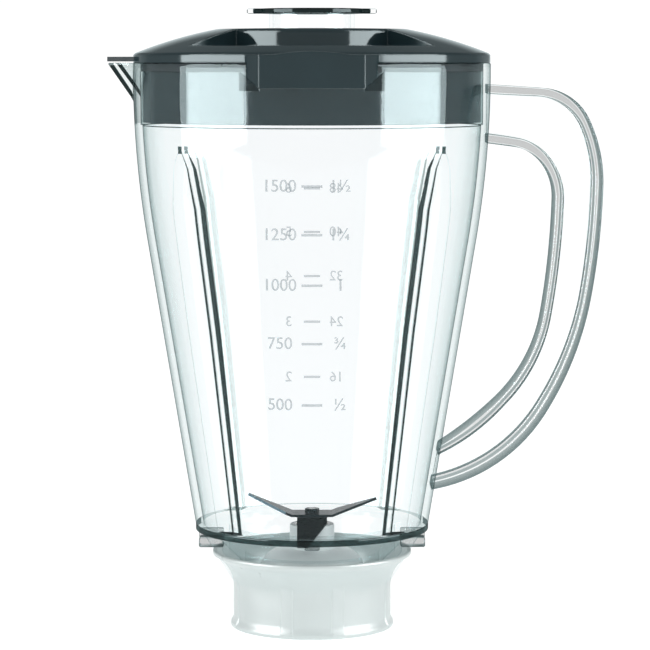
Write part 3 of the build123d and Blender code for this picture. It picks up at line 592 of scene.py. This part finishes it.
disc_t = 1.9
disc_r = 21.5
ear_reach = 26.1
ear_half_w = 7.0
ear_corner = 3.0
disc_z = cap_high.z - disc_t
seat_z = rim_z + 2.22  # 0.02 mm clear of the lid's ledge
CAP_COLUMNS = 240
turns = [TAU * k / CAP_COLUMNS for k in range(CAP_COLUMNS)]
rays = [(math.cos(a), math.sin(a)) for a in turns]
disc_plan = []
for x, y in rays:
    r = disc_r
    if abs(y) * ear_reach < ear_half_w * abs(x) + 4.0:
        ear = min(ear_reach / max(abs(x), 1e-6), ear_half_w / max(abs(y), 1e-6))
        past_x = max(0.0, abs(x) * ear - ear_reach + ear_corner)
        past_y = max(0.0, abs(y) * ear - ear_half_w + ear_corner)
        corner = math.hypot(past_x, past_y)
        if corner > ear_corner:
            ear *= 1 - (corner - ear_corner) / 26.0
        r = max(r, ear)
    disc_plan.append((r * x, r * y))
disc_rows = ((0.0, 0.986), (0.25, 1.0), (disc_t - 0.35, 1.0), (disc_t, 0.984))
disc_rows += ((disc_t, 0.9), (disc_t, 0.5))
cap_rings = []
for z, shrink in disc_rows:
    cap_rings.append([(x * shrink, y * shrink, disc_z + z) for x, y in disc_plan])
cup_upper_r, cup_lower_r = 17.3, 15.6
cup_t = 1.5
cup_h = 11.0
cup = [(0.02, disc_z + disc_t), (0.02, disc_z + 0.2)]
cup += [(cup_upper_r - cup_t, disc_z + 0.2), (cup_upper_r - cup_t, seat_z + 2.5)]
cup += [(cup_lower_r - cup_t, seat_z + 1.5), (cup_lower_r - cup_t, seat_z - cup_h)]
cup += [(cup_lower_r, seat_z - cup_h), (cup_lower_r, seat_z)]
cup += [(cup_upper_r, seat_z), (cup_upper_r, disc_z), (19.0, disc_z)]
cap_rings += [[(r * x, r * y, z) for x, y in rays] for r, z in cup]
cap = loop_mesh("filler_cap", cap_rings, 35.0)


def cap_part(place):
    """Which finish a spot on the cap takes: 0 plain, 1 the disc's edge and faces painted dark as
    painted shade, apart from a clear band on each ear.
    """
    across = abs(place.x) / MM
    clear_band = ear_reach - 3.3 <= across <= ear_reach - 0.2
    return 1 if place.z / MM > disc_z - 0.1 and not clear_band else 0


tongue_tip_x = -spout_reach - 0.05
tongue_side_x, tongue_root_x = -67.6, -64.0
tongue_half_w = 13.1
tongue_plan = [(tongue_tip_x, 0), (tongue_side_x, tongue_half_w), (tongue_root_x, tongue_half_w)]
tongue_plan += [(tongue_root_x, -tongue_half_w), (tongue_side_x, -tongue_half_w)]
tongue_rings = [[(x, y, z) for x, y in tongue_plan] for z in (rim_z + 0.55, rim_z + 2.45)]
tongue = capped_mesh("lid_tongue", tongue_rings)

# ---------------------------------------------------------------- the scale on the jug's wall

FRONT, BACK = -90.0, 90.0  # degrees from +X
FONT_SCALE = 1.45  # font size over the height of a figure
FIGURE_RISE = 0.18
DASH_H = 0.9
DASH_RISE = 0.2


def on_wall(piece, side, lift):
    """Wrap a flat piece, drawn in X and Z, on to the wall at one side, facing outward."""
    for v in piece.data.vertices:
        x, z, out = v.co.x / MM, v.co.z / MM, v.co.y / MM
        r = wall_r(z) + lift - out
        a = math.radians(side) + x / wall_r(z)
        v.co = (r * math.cos(a) * MM, r * math.sin(a) * MM, z * MM)


def wall_text(name, words, x, z, height, side):
    """Raised figures of a given height, with their middle at x and z on the wall."""
    curve = bpy.data.curves.new(name + "_line", "FONT")
    curve.body = words
    curve.size = height * FONT_SCALE * MM
    curve.extrude = FIGURE_RISE * MM
    curve.align_x = "CENTER"
    curve.align_y = "CENTER"
    drawn = bpy.data.objects.new(name + "_line", curve)
    bpy.context.scene.collection.objects.link(drawn)
    bpy.context.view_layer.update()
    mesh = bpy.data.meshes.new_from_object(drawn)
    bpy.data.objects.remove(drawn)
    bpy.data.curves.remove(curve)
    for v in mesh.vertices:
        v.co = (v.co.x + x * MM, -v.co.z, v.co.y + z * MM)
    piece = bpy.data.objects.new(name, mesh)
    bpy.context.scene.collection.objects.link(piece)
    on_wall(piece, side, 0.12)
    return piece


def wall_dash(name, x, z, length, side):
    """A raised dash of the scale."""
    low = (x - length / 2, -DASH_RISE, z - DASH_H / 2)
    high = (x + length / 2, DASH_RISE, z + DASH_H / 2)
    points = []
    count = 9
    for i in range(count):
        t = low[0] + (high[0] - low[0]) * i / (count - 1)
        points += [(t, low[1], low[2]), (t, low[1], high[2])]
        points += [(t, high[1], high[2]), (t, high[1], low[2])]
    faces = grid_faces(count, 4)
    faces += [(0, 1, 2, 3), tuple(4 * (count - 1) + k for k in (3, 2, 1, 0))]
    piece = new_piece(name, points, faces)
    on_wall(piece, side, 0.1)
    return piece


def wall_scale(name, marks, left_x, right_x, height, dash_w, side):
    """Two columns of figures with a dash between; marks are (height, left, right)."""
    made = []
    for i, (z, left, right) in enumerate(marks):
        made.append(wall_text(f"{name}_left_{i}", left, left_x, z, height, side))
        made.append(wall_dash(f"{name}_dash_{i}", 0, z, dash_w, side))
        made.append(wall_text(f"{name}_right_{i}", right, right_x, z, height, side))
    return made


front_marks = ((182.9, "1500", "1½"), (164.2, "1250", "1¼"), (144.6, "1000", "1"))
front_marks += ((121.7, "750", "¾"), (97.4, "500", "½"))
back_marks = ((176.0, "48", "6"), (157.4, "40", "5"), (138.6, "32", "4"))
back_marks += ((119.2, "24", "3"), (95.8, "16", "2"))
scale_pieces = wall_scale("scale_front", front_marks, -12.5, 11.0, 4.6, 8.0, FRONT)
scale_pieces += wall_scale("scale_back", back_marks, -10.5, 10.0, 4.2, 7.0, BACK)

# ---------------------------------------------------------------- materials


def material(name):
    """A new node material, its tree and its output node."""
    made = bpy.data.materials.new(name)
    made.use_nodes = True
    tree = made.node_tree
    tree.nodes.clear()
    return made, tree, tree.nodes.new("ShaderNodeOutputMaterial")


def ramp(tree, source, stops):
    """A colour ramp fed by a socket; stops are (place, grey or colour)."""
    node = tree.nodes.new("ShaderNodeValToRGB")
    band = node.color_ramp
    while len(band.elements) < len(stops):
        band.elements.new(0.5)
    for element, (place, shade) in zip(band.elements, stops):
        element.position = place
        shade = (shade, shade, shade) if isinstance(shade, (int, float)) else shade
        element.color = (*shade, 1.0)
    tree.links.new(source, node.inputs["Fac"])
    return node.outputs["Color"]


def facing(tree, normal=None):
    """0 where the surface faces the eye, 1 where it is edge on."""
    node = tree.nodes.new("ShaderNodeLayerWeight")
    node.inputs["Blend"].default_value = 0.5
    if normal:
        tree.links.new(normal, node.inputs["Normal"])
    return node.outputs["Facing"]


def noise(tree, scale, detail=2.0, stretch=None):
    """Noise in the object's own coordinates, in lumps per metre."""
    place = tree.nodes.new("ShaderNodeTexCoord").outputs["Object"]
    if stretch:
        mapping = tree.nodes.new("ShaderNodeMapping")
        mapping.inputs["Scale"].default_value = stretch
        tree.links.new(place, mapping.inputs["Vector"])
        place = mapping.outputs["Vector"]
    node = tree.nodes.new("ShaderNodeTexNoise")
    node.inputs["Scale"].default_value = scale
    node.inputs["Detail"].default_value = detail
    tree.links.new(place, node.inputs["Vector"])
    return node.outputs["Fac"]


def bump(tree, height, strength, distance):
    """A bump node's normal from a height socket."""
    node = tree.nodes.new("ShaderNodeBump")
    node.inputs["Strength"].default_value = strength
    node.inputs["Distance"].default_value = distance
    tree.links.new(height, node.inputs["Height"])
    return node.outputs["Normal"]


def mixed(tree, share, first, second):
    """A mix of two shader sockets by a share socket."""
    node = tree.nodes.new("ShaderNodeMixShader")
    tree.links.new(share, node.inputs["Fac"])
    tree.links.new(first, node.inputs[1])
    tree.links.new(second, node.inputs[2])
    return node.outputs[0]


def clear_plastic(name, tints, mirror, gloss_rough=0.03):
    """Clear moulded plastic whose tint deepens and whose shine grows towards its edges."""
    made, tree, out = material(name)
    side = facing(tree)
    through = tree.nodes.new("ShaderNodeBsdfTransparent")
    tree.links.new(ramp(tree, side, tints), through.inputs["Color"])
    shine = tree.nodes.new("ShaderNodeBsdfGlossy")
    shine.inputs["Color"].default_value = (0.8, 0.96, 0.98, 1.0)
    shine.inputs["Roughness"].default_value = gloss_rough
    ripple = bump(tree, noise(tree, 28.0, 1.0), 0.12, 0.001)
    tree.links.new(ripple, shine.inputs["Normal"])
    both = mixed(tree, ramp(tree, side, mirror), through.outputs[0], shine.outputs[0])
    tree.links.new(both, out.inputs["Surface"])
    return made


def moulded(name, colour, rough, grain=220.0, depth=0.05, mottle=0.06, thin=0.0, spec=0.5):
    """Opaque moulded plastic or rubber with a faint grain and a slight change of tone."""
    made, tree, out = material(name)
    node = tree.nodes.new("ShaderNodeBsdfPrincipled")
    node.inputs["Specular IOR Level"].default_value = spec
    darker = tuple(c * (1 - mottle) for c in colour)
    lighter = tuple(min(1.0, c * (1 + mottle)) for c in colour)
    tone = ramp(tree, noise(tree, 45.0, 4.0), ((0.35, darker), (0.65, lighter)))
    tree.links.new(tone, node.inputs["Base Color"])
    worn = ramp(tree, noise(tree, 90.0, 3.0), ((0.3, rough * 0.85), (0.7, rough * 1.15)))
    tree.links.new(worn, node.inputs["Roughness"])
    tree.links.new(bump(tree, noise(tree, grain, 2.0), depth, 0.0003), node.inputs["Normal"])
    if thin:
        node.inputs["Subsurface Weight"].default_value = thin
        node.inputs["Subsurface Radius"].default_value = (0.004, 0.004, 0.004)
        node.inputs["Subsurface Scale"].default_value = 1.0
    tree.links.new(node.outputs[0], out.inputs["Surface"])
    return made


def polished(name, colour, mirror, gloss_rough=0.09):
    """Glossy dark plastic: a body colour under a clear shine that grows gently at the edges."""
    made, tree, out = material(name)
    body = tree.nodes.new("ShaderNodeBsdfPrincipled")
    body.inputs["Specular IOR Level"].default_value = 0.0
    body.inputs["Roughness"].default_value = 0.6
    tone = ramp(
        tree,
        noise(tree, 60.0, 3.0),
        ((0.3, tuple(c * 0.92 for c in colour)), (0.7, tuple(c * 1.08 for c in colour))),
    )
    tree.links.new(tone, body.inputs["Base Color"])
    edge = tree.nodes.new("ShaderNodeBevel")
    edge.samples = 4
    edge.inputs["Radius"].default_value = 0.0008
    ripple = tree.nodes.new("ShaderNodeBump")
    ripple.inputs["Strength"].default_value = 0.06
    ripple.inputs["Distance"].default_value = 0.0004
    tree.links.new(noise(tree, 35.0, 2.0), ripple.inputs["Height"])
    tree.links.new(edge.outputs[0], ripple.inputs["Normal"])
    shine = tree.nodes.new("ShaderNodeBsdfGlossy")
    shine.inputs["Roughness"].default_value = gloss_rough
    shine.inputs["Color"].default_value = (0.86, 0.98, 1.0, 1.0)
    tree.links.new(ripple.outputs[0], shine.inputs["Normal"])
    tree.links.new(ripple.outputs[0], body.inputs["Normal"])
    share = ramp(tree, facing(tree, edge.outputs[0]), mirror)
    both = mixed(tree, share, body.outputs[0], shine.outputs[0])
    tree.links.new(both, out.inputs["Surface"])
    return made


def metal(name, colour, rough, brush=(1.0, 1.0, 1.0), lines=900.0):
    """Ground or turned metal with fine lines."""
    made, tree, out = material(name)
    node = tree.nodes.new("ShaderNodeBsdfPrincipled")
    node.inputs["Metallic"].default_value = 1.0
    streak = noise(tree, lines, 3.0, brush)
    darker = tuple(c * 0.8 for c in colour)
    tree.links.new(ramp(tree, streak, ((0.3, darker), (0.7, colour))), node.inputs["Base Color"])
    worn = ramp(tree, streak, ((0.3, rough * 0.8), (0.7, rough * 1.2)))
    tree.links.new(worn, node.inputs["Roughness"])
    tree.links.new(bump(tree, streak, 0.25, 0.00005), node.inputs["Normal"])
    tree.links.new(node.outputs[0], out.inputs["Surface"])
    return made


# Colour of what shows through, from face on (0) to edge on (1)
WALL_TINTS = (
    (0.0, (0.966, 0.971, 0.974)),
    (0.5, (0.95, 0.963, 0.965)),
    (0.75, (0.86, 0.89, 0.89)),
    (0.88, (0.6, 0.65, 0.65)),
    (0.95, (0.2, 0.25, 0.25)),
    (1.0, (0.01, 0.02, 0.02)),
)
NECK_TINTS = (
    (0.0, (0.99, 0.992, 0.992)),
    (0.6, (0.975, 0.98, 0.98)),
    (0.88, (0.95, 0.96, 0.96)),
    (0.97, (0.75, 0.8, 0.8)),
    (1.0, (0.2, 0.26, 0.26)),
)
# Painted shade: the front flutes' tints, darker than the back flutes' copy, paint the dark lines
# that the flutes show
FRONT_FLUTE_PAINTED_SHADE = (
    (0.0, (0.98, 0.986, 0.987)),
    (0.3, (0.94, 0.96, 0.96)),
    (0.5, (0.5, 0.56, 0.56)),
    (0.65, (0.03, 0.05, 0.05)),
    (1.0, (0.0, 0.005, 0.005)),
)
# Painted shade: the lighter copy of the flute tints, for the back flutes
BACK_FLUTE_PAINTED_SHADE = (
    (0.0, (0.98, 0.986, 0.987)),
    (0.5, (0.94, 0.96, 0.96)),
    (0.75, (0.62, 0.68, 0.67)),
    (0.9, (0.2, 0.26, 0.25)),
    (1.0, (0.03, 0.05, 0.05)),
)
HANDLE_TINTS = (
    (0.0, (0.985, 0.99, 0.99)),
    (0.4, (0.9, 0.925, 0.925)),
    (0.7, (0.55, 0.62, 0.62)),
    (0.9, (0.22, 0.28, 0.28)),
    (1.0, (0.04, 0.07, 0.07)),
)
FLANGE_SHADE = 0.74  # what the flanges let through, as a share of what the web does
FLANGE_TINTS = tuple((at, tuple(c * FLANGE_SHADE for c in tint)) for at, tint in HANDLE_TINTS)
# Painted shade: near-black tints for the dark lines at ledges, edges, the spout's keel and the
# cap's disc
DARK_EDGE_PAINTED_SHADE_TINTS = ((0.0, (0.07, 0.11, 0.11)), (0.7, (0.07, 0.11, 0.11)), (1.0, (0.02, 0.03, 0.03)))
SPOUT_TINTS = (
    (0.0, (0.92, 0.94, 0.94)),
    (0.6, (0.85, 0.88, 0.88)),
    (0.85, (0.3, 0.35, 0.35)),
    (1.0, (0.02, 0.03, 0.03)),
)
MARK_TINTS = ((0.0, (0.8, 0.81, 0.82)), (0.5, (0.62, 0.65, 0.66)), (1.0, (0.3, 0.34, 0.34)))

# Share of mirror shine, from face on (0) to edge on (1)
WALL_MIRROR = ((0.0, 0.015), (0.6, 0.02), (0.85, 0.06), (1.0, 0.15))
MARK_MIRROR = ((0.0, 0.03), (1.0, 0.3))
CHARCOAL_MIRROR = ((0.0, 0.024), (0.6, 0.034), (0.85, 0.14), (1.0, 0.7))

clear = clear_plastic("clear_wall", WALL_TINTS, WALL_MIRROR)
clear_neck = clear_plastic("clear_neck", NECK_TINTS, WALL_MIRROR)
# painted shade: darker front and lighter back copies of the flute material
flute_front_painted_shade = clear_plastic("flute_front_painted_shade", FRONT_FLUTE_PAINTED_SHADE, WALL_MIRROR)
flute_back_painted_shade = clear_plastic("flute_back_painted_shade", BACK_FLUTE_PAINTED_SHADE, WALL_MIRROR)
# painted shade: the dark edge lines
dark_edge_painted_shade = clear_plastic("dark_edge_painted_shade", DARK_EDGE_PAINTED_SHADE_TINTS, WALL_MIRROR)
clear_spout = clear_plastic("clear_spout", SPOUT_TINTS, WALL_MIRROR)
clear_handle = clear_plastic("clear_handle", HANDLE_TINTS, WALL_MIRROR)
clear_flange = clear_plastic("clear_flange", FLANGE_TINTS, WALL_MIRROR)
clear_cap = clear_plastic("clear_cap", NECK_TINTS, WALL_MIRROR)
# painted shade: the cap's disc takes the near-black edge tints
disc_painted_shade = clear_plastic("disc_painted_shade", DARK_EDGE_PAINTED_SHADE_TINTS, WALL_MIRROR)
clear_marks = clear_plastic("clear_marks", MARK_TINTS, MARK_MIRROR, 0.15)
charcoal = polished("charcoal_gloss", (0.014, 0.028, 0.033), CHARCOAL_MIRROR)
charcoal_dull = moulded("charcoal_dull", (0.02, 0.03, 0.034), 0.5, spec=0.1)
seal_rubber = moulded("seal_rubber", (0.012, 0.022, 0.027), 0.55, 500.0, 0.1, spec=0.1)
white_plastic = moulded("white_plastic", (0.64, 0.705, 0.70), 0.32, 300.0, 0.04, 0.02, 0.05)
neck_rubber = moulded("neck_rubber", (0.62, 0.66, 0.66), 0.5)
carrier_plastic = moulded("carrier_plastic", (0.84, 0.9, 0.905), 0.35, 260.0, 0.05, 0.04, 0.15)
bronze = metal("bronze", (0.62, 0.44, 0.22), 0.5, (1.0, 1.0, 1.0), 1500.0)
felt = moulded("felt", (0.35, 0.3, 0.23), 0.95, 1400.0, 0.8, 0.3)
steel = metal("steel", (0.6, 0.61, 0.62), 0.25, (1.0, 1.0, 12.0))
nylon = moulded("nylon", (0.72, 0.72, 0.67), 0.45)
# painted shade: the stainless blades get a near-black colour in place of the dark surroundings they
# reflect
blade_steel = metal("blade_steel", (0.012, 0.02, 0.024), 0.3, (0.3, 6.0, 1.0))
coupling_plastic = moulded("coupling_plastic", (0.03, 0.03, 0.032), 0.5, 400.0, 0.15)


def finish_with(piece, made):
    """Give every face of a piece one material."""
    if not piece.material_slots:
        piece.data.materials.append(made)
    for spot in piece.material_slots:
        spot.material = made


def finish_by(piece, choices, part_of):
    """Give each face the finish that part_of picks for the face's middle."""
    for made in choices:
        piece.data.materials.append(made)
    for face in piece.data.polygons:
        face.material_index = part_of(face.center)


for piece in [jug_wall, jug_neck, jug_handle] + small_clear + scale_pieces:
    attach(piece, "jug")
for piece in scale_pieces:
    finish_with(piece, clear_marks)
for piece in small_clear:
    finish_with(piece, clear_flange)
finish_by(jug_wall, (clear, flute_front_painted_shade, flute_back_painted_shade, dark_edge_painted_shade, clear_spout), wall_part)
finish_by(jug_neck, (clear_neck, dark_edge_painted_shade), neck_part)
finish_by(jug_handle, (clear_handle, clear_flange), handle_part)
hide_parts("jug_rim", "jug_wall")
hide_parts("jug_base")
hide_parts("jug_handle")
finish_by(cap, (clear_cap, disc_painted_shade), cap_part)
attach(cap, "filler_cap")
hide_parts("filler_cap")
finish_with(collar, white_plastic)
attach(collar, "collar")
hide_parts("base_collar")
finish_with(tongue, charcoal_dull)
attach(tongue, "lid")

NODE_FINISH = {
    "lid": charcoal,
    "lid_seal": seal_rubber,
    "neck_seal": neck_rubber,
    "blade_carrier": carrier_plastic,
    "upper_bush": bronze,
    "lower_bush": bronze,
    "oil_wick": felt,
    "shaft_seal": seal_rubber,
    "seal_retainer": steel,
    "drive_shaft": steel,
    "lower_thrust_washer": nylon,
    "upper_thrust_washer": nylon,
    "blade_spacer": steel,
    "shaft_clip": steel,
    "upper_blade": blade_steel,
    "lower_blade": blade_steel,
    "blade_nut": blade_steel,
    "drive_coupling": coupling_plastic,
    "coupling_insert": steel,
}
for name, made in NODE_FINISH.items():
    finish_with(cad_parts[name], made)

# ---------------------------------------------------------------- floor, light and camera

scene = bpy.context.scene
scene.view_settings.view_transform = "Standard"
# Enough for a line of sight through every layer of the clear pieces
scene.cycles.max_bounces = 24
scene.cycles.transparent_max_bounces = 64

FLOOR_SIZE = 400.0  # m, wide enough that no edge shows
FLOOR_GLOW = 0.45
bpy.ops.mesh.primitive_plane_add(size=FLOOR_SIZE, location=(0, 0, 0))
floor = bpy.context.object
floor.name = "floor"
floor_paint = moulded("floor_paint", (0.93, 0.93, 0.93), 0.9, 60.0, 0.02, 0.004, 0.0, 0.1)
floor_shader = floor_paint.node_tree.nodes["Principled BSDF"]
floor_shader.inputs["Emission Color"].default_value = (1, 1, 1, 1)
floor_shader.inputs["Emission Strength"].default_value = FLOOR_GLOW
finish_with(floor, floor_paint)

world = bpy.data.worlds.new("studio")
scene.world = world
world.use_nodes = True
sky = world.node_tree
background = sky.nodes["Background"]
place = sky.nodes.new("ShaderNodeTexCoord").outputs["Generated"]
parts = sky.nodes.new("ShaderNodeSeparateXYZ")
sky.links.new(place, parts.inputs[0])
height = ramp(sky, parts.outputs["Z"], ((0.0, 1.0), (0.12, 1.0), (0.3, 0.5), (1.0, 0.75)))
sky.links.new(height, background.inputs["Color"])
background.inputs["Strength"].default_value = 1.05


def softbox(name, azimuth, distance, height_z, width, tall, radiance, gloss_only):
    """An area light facing the jug, in metres; azimuth is from the front towards +X."""
    light = bpy.data.lights.new(name, "AREA")
    light.shape = "RECTANGLE"
    light.size, light.size_y = width, tall
    light.energy = radiance * math.pi * width * tall
    lamp = bpy.data.objects.new(name, light)
    scene.collection.objects.link(lamp)
    a = math.radians(azimuth)
    lamp.location = (distance * math.sin(a), -distance * math.cos(a), height_z)
    aim = Vector((0, 0, min(height_z, 0.2))) - lamp.location
    lamp.rotation_euler = aim.to_track_quat("-Z", "Y").to_euler()
    lamp.visible_camera = False
    lamp.visible_diffuse = not gloss_only
    lamp.visible_glossy = gloss_only


softbox("left_box", -66.0, 1.25, 0.35, 1.1, 1.5, 15.0, gloss_only=True)
softbox("right_box", 69.0, 1.25, 0.35, 1.1, 1.5, 15.0, gloss_only=True)
softbox("top_box", 10.0, 1.9, 1.3, 1.6, 1.6, 0.6, gloss_only=False)

camera_distance = 1.1268
pitch, yaw = 0.0936, 0.00471  # radians, down and to the right
camera_data = bpy.data.cameras.new("camera")
camera_data.sensor_width = 36.0
camera_data.lens = 153.8
camera = bpy.data.objects.new("camera", camera_data)
scene.collection.objects.link(camera)
camera.location = (0, -camera_distance, rim_z * MM - 0.0006)
camera.rotation_euler = (math.pi / 2 - pitch, 0, -yaw)
scene.camera = camera
